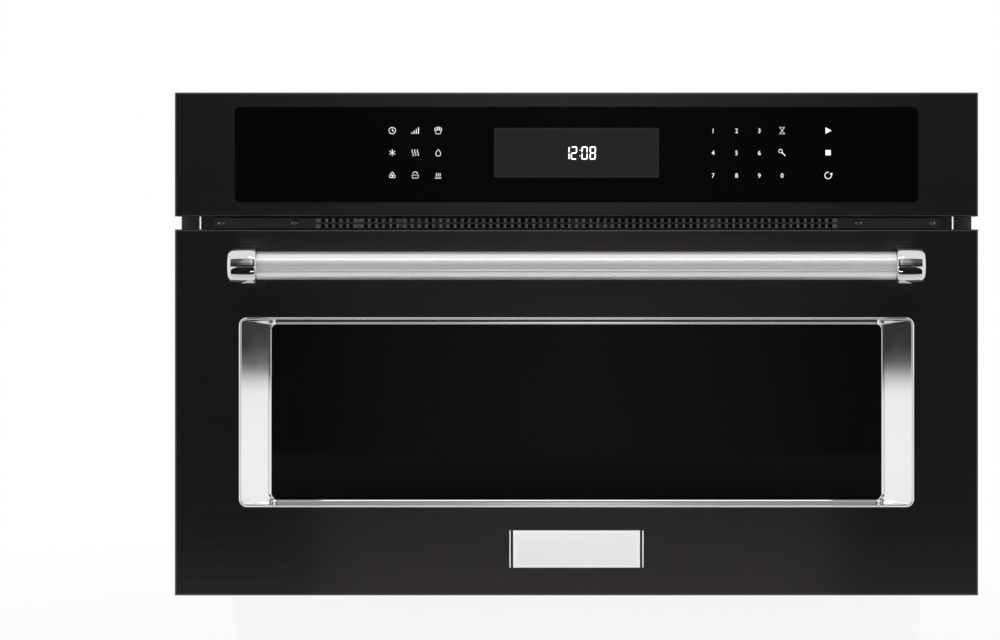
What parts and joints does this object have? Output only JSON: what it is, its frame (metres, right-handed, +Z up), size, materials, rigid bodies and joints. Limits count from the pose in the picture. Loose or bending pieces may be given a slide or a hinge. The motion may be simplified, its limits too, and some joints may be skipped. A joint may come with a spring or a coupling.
{
  "type": "built-in microwave oven",
  "caption": "Built-in microwave oven for a cabinet: a drop-down door with a framed window and bar handle below a glass control panel, with a glass turntable and a convection fan inside.",
  "frame": {"origin": "on the cabinet's shelf, at the middle of the cabinet's front plane", "axes": "X to the right as seen from the front, Y from the front to the back, Z up"},
  "size_m": [0.7556, 0.5461, 0.4731],
  "materials": {
    "base_pan": "galvanised sheet",
    "outer_wrapper": "galvanised sheet",
    "rear_panel": "galvanised sheet",
    "front_frame": "black satin enamel on steel",
    "component_deck": "galvanised sheet",
    "oven_cavity": "light grey baked enamel",
    "cavity_lamp": "sheet housing with a frosted bulb",
    "mica_cover": "mica sheet",
    "convection_cover": "light grey baked enamel",
    "convection_housing": "aluminised sheet",
    "convection_heater": "oxidised heater sheath",
    "convection_motor": "zinc plated can",
    "turntable_motor": "zinc plated can",
    "waveguide": "galvanised sheet",
    "magnetron_yoke": "zinc plated sheet",
    "magnetron_core": "aluminium fins on a copper anode",
    "transformer_core": "varnished laminations",
    "transformer_windings": "enamelled copper wire",
    "high_voltage_capacitor": "drawn can",
    "fan_shroud": "black moulding",
    "cooling_fan_motor": "laminated steel",
    "power_board": "phenolic board with parts",
    "noise_filter_board": "glass-fibre board with parts",
    "cord_gland": "black moulding",
    "control_panel_skin": "dark brushed stainless sheet, graphite coated",
    "control_glass": "black back-painted glass",
    "panel_carrier": "black moulding",
    "display_module": "dark display with a board behind it",
    "vent_trim": "black satin enamel on steel",
    "trim_screws": "zinc plated pan heads",
    "hinge_claw_right": "zinc plated",
    "hinge_claw_left": "zinc plated",
    "interlock_bracket_right": "natural moulding",
    "interlock_bracket_left": "natural moulding",
    "interlock_switches": "black moulded switch bodies",
    "door_skin": "dark brushed stainless sheet, graphite coated",
    "window_bezel": "polished bevelled frame",
    "window_glass": "dark tinted tempered glass",
    "door_body": "black satin enamel on steel",
    "choke_cover": "black moulding",
    "door_screen": "perforated black sheet",
    "inner_glass": "clear tempered glass",
    "handle_tube": "polished dark stainless tube",
    "handle_post_right": "polished cast posts",
    "handle_post_left": "polished cast posts",
    "badge_plate": "satin plate, bare",
    "hinge_channel_right": "zinc plated",
    "hinge_channel_left": "zinc plated",
    "hinge_pins": "hardened steel pins",
    "latch_bar": "black glass-filled moulding",
    "turntable_coupler": "natural heat-resistant moulding",
    "glass_tray": "clear moulded glass",
    "roller_ring": "natural heat-resistant moulding",
    "cooling_fan": "black moulding",
    "convection_fan": "sheet with bent vanes",
    "primary_plunger": "red moulded pin",
    "secondary_plunger": "red moulded pin",
    "roller_wheel_1": "natural moulding",
    "roller_wheel_2": "natural moulding",
    "roller_wheel_3": "natural moulding"
  },
  "bodies": {
    "chassis": {"base_pan": "base_pan", "outer_wrapper": "outer_wrapper", "rear_panel": "rear_panel", "front_frame": "front_frame", "component_deck": "component_deck", "oven_cavity": "oven_cavity", "cavity_lamp": "cavity_lamp", "mica_cover": "mica_cover", "convection_cover": "convection_cover", "convection_housing": "convection_housing", "convection_heater": "convection_heater", "convection_motor": "convection_motor", "turntable_motor": "turntable_motor", "waveguide": "waveguide", "magnetron_yoke": "magnetron_yoke", "magnetron_core": "magnetron_core", "transformer_core": "transformer_core", "transformer_windings": "transformer_windings", "high_voltage_capacitor": "high_voltage_capacitor", "fan_shroud": "fan_shroud", "cooling_fan_motor": "cooling_fan_motor", "power_board": "power_board", "noise_filter_board": "noise_filter_board", "cord_gland": "cord_gland", "control_panel_skin": "control_panel_skin", "control_glass": "control_glass", "panel_carrier": "panel_carrier", "display_module": "display_module", "vent_trim": "vent_trim", "trim_screws": "trim_screws", "hinge_claw_right": "hinge_claw_right", "hinge_claw_left": "hinge_claw_left", "interlock_bracket_right": "interlock_bracket_right", "interlock_bracket_left": "interlock_bracket_left", "interlock_switches": "interlock_switches"},
    "door": {"door_skin": "door_skin", "window_bezel": "window_bezel", "window_glass": "window_glass", "door_body": "door_body", "choke_cover": "choke_cover", "door_screen": "door_screen", "inner_glass": "inner_glass", "handle_tube": "handle_tube", "handle_post_right": "handle_post_right", "handle_post_left": "handle_post_left", "badge_plate": "badge_plate", "hinge_channel_right": "hinge_channel_right", "hinge_channel_left": "hinge_channel_left", "hinge_pins": "hinge_pins"},
    "latch": {"latch_bar": "latch_bar"},
    "turntable": {"turntable_coupler": "turntable_coupler", "glass_tray": "glass_tray"},
    "roller_ring": {"roller_ring": "roller_ring"},
    "cooling_fan": {"cooling_fan": "cooling_fan"},
    "convection_fan": {"convection_fan": "convection_fan"},
    "primary_plunger": {"primary_plunger": "primary_plunger"},
    "secondary_plunger": {"secondary_plunger": "secondary_plunger"},
    "wheel_1": {"roller_wheel_1": "roller_wheel_1"},
    "wheel_2": {"roller_wheel_2": "roller_wheel_2"},
    "wheel_3": {"roller_wheel_3": "roller_wheel_3"}
  },
  "joints": [
    {"name": "door_hinge", "type": "hinge", "parent": "chassis", "child": "door", "pos_m": [0, -0.01, -0.004], "axis": [1, 0, 0], "range_deg": [0, 90], "stiffness_Nm_per_rad": 3, "springref_deg": -45.84},
    {"name": "latch_pivot", "type": "hinge", "parent": "door", "child": "latch", "pos_m": [0, -0.02, 0.308], "axis": [1, 0, 0], "range_deg": [0, 6], "stiffness_Nm_per_rad": 0.5, "springref_deg": -11.46},
    {"name": "turntable_turn", "type": "hinge", "parent": "chassis", "child": "turntable", "pos_m": [0, 0.17755, 0.052], "axis": [0, 0, 1], "continuous": true},
    {"name": "roller_ring_turn", "type": "hinge", "parent": "chassis", "child": "roller_ring", "pos_m": [0, 0.17755, 0.0573], "axis": [0, 0, 1], "continuous": true},
    {"name": "cooling_fan_spin", "type": "hinge", "parent": "chassis", "child": "cooling_fan", "pos_m": [0.05, 0.25, 0.353], "axis": [1, 0, 0], "continuous": true},
    {"name": "convection_fan_spin", "type": "hinge", "parent": "chassis", "child": "convection_fan", "pos_m": [0, 0.39, 0.1625], "axis": [0, 1, 0], "continuous": true},
    {"name": "primary_switch_press", "type": "slide", "parent": "chassis", "child": "primary_plunger", "axis": [0, 1, 0], "range_m": [0, 0.0015], "stiffness_N_per_m": 150, "springref_m": -0.002},
    {"name": "secondary_switch_press", "type": "slide", "parent": "chassis", "child": "secondary_plunger", "axis": [0, 1, 0], "range_m": [0, 0.0015], "stiffness_N_per_m": 150, "springref_m": -0.002},
    {"name": "wheel_1_spin", "type": "hinge", "parent": "roller_ring", "child": "wheel_1", "pos_m": [0, 0.28515, 0.0573], "axis": [0, 1, 0], "continuous": true},
    {"name": "wheel_2_spin", "type": "hinge", "parent": "roller_ring", "child": "wheel_2", "pos_m": [-0.09318, 0.12375, 0.0573], "axis": [-0.866, -0.5, 0], "continuous": true},
    {"name": "wheel_3_spin", "type": "hinge", "parent": "roller_ring", "child": "wheel_3", "pos_m": [0.09318, 0.12375, 0.0573], "axis": [0.866, -0.5, 0], "continuous": true}
  ],
  "couplings": [
    {"joint": "roller_ring_turn", "follows": "turntable_turn", "ratio": 0.5},
    {"joint": "wheel_1_spin", "follows": "turntable_turn", "ratio": -7.6857},
    {"joint": "wheel_2_spin", "follows": "turntable_turn", "ratio": -7.6857},
    {"joint": "wheel_3_spin", "follows": "turntable_turn", "ratio": -7.6857}
  ]
}
